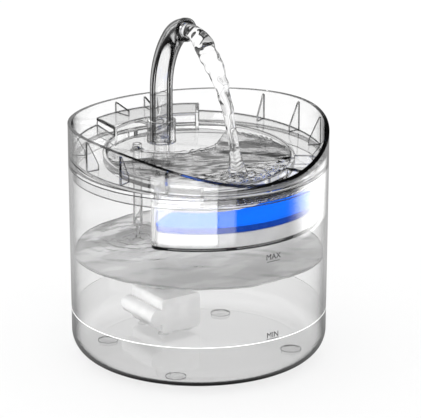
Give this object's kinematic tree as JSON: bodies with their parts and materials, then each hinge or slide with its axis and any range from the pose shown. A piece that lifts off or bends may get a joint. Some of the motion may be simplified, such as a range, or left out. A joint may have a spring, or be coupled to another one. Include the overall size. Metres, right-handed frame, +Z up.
{
  "type": "pet water fountain",
  "caption": "Round clear pet water fountain: a reservoir with a submersible pump, a lift-off drinking tray with a saddle-shaped rim, a hanging filter box and a swan-neck faucet.",
  "frame": {"origin": "middle of the round base, on the surface that the feet stand on", "axes": "+Z up, -Y towards the front, where the rim is lowest and the faucet pours, +X to the right of someone facing the front"},
  "size_m": [0.18, 0.18, 0.2376],
  "materials": {
    "tank_plastic": "clear, polished",
    "tray_plastic": "clear, polished",
    "box_plastic": "clear, polished",
    "faucet_plastic": "clear, polished",
    "pipe_plastic": "clear, polished",
    "riser_vinyl": "clear, soft",
    "silicone": "matte, translucent white",
    "foam_blue": "open-cell foam",
    "filter_white": "satin white",
    "carbon": "black granules",
    "resin": "amber granules",
    "pump_white": "satin white",
    "sponge": "open-cell foam",
    "rotor_white": "satin white",
    "magnet": "dark grey ferrite",
    "ceramic": "ivory, glazed",
    "bush_rubber": "matte black",
    "lamination": "stacked sheet",
    "copper": "enamelled wire",
    "potting": "cast resin, white"
  },
  "bodies": {
    "base": {"tank": "tank_plastic", "tank_feet": "silicone", "riser_tube": "riser_vinyl", "pump_housing": "pump_white", "intake_sponge": "sponge", "volute_cover": "rotor_white", "rotor_shaft": "ceramic", "shaft_bushes": "bush_rubber", "stator_core": "lamination", "stator_coil": "copper", "motor_potting": "potting", "cord_gland": "pump_white", "suction_cups": "silicone"},
    "tray": {"tray": "tray_plastic", "overflow_pipe": "pipe_plastic"},
    "faucet": {"faucet": "faucet_plastic", "faucet_seal": "silicone"},
    "filter": {"filter_box": "box_plastic", "foam_pad": "foam_blue", "filter_case": "filter_white", "carbon_bed": "carbon", "resin_bed": "resin"},
    "intake_cover": {"intake_cover": "pump_white"},
    "rotor": {"impeller": "rotor_white", "rotor_magnet": "magnet"}
  },
  "joints": [
    {"name": "tray_lift", "type": "slide", "parent": "base", "child": "tray", "axis": [0, 0, 1], "range_m": [0, 0.12]},
    {"name": "faucet_swivel", "type": "hinge", "parent": "tray", "child": "faucet", "pos_m": [0, 0.0466, 0.143], "axis": [0, 0, 1], "range_deg": [-45, 45]},
    {"name": "filter_box_pull", "type": "slide", "parent": "tray", "child": "filter", "axis": [0, 0, -1], "range_m": [0, 0.04]},
    {"name": "intake_cover_pull", "type": "slide", "parent": "base", "child": "intake_cover", "axis": [0, -1, 0], "range_m": [0, 0.012]},
    {"name": "rotor_spin", "type": "hinge", "parent": "base", "child": "rotor", "pos_m": [0, 0.0466, 0.0206], "axis": [0, 1, 0], "continuous": true}
  ]
}
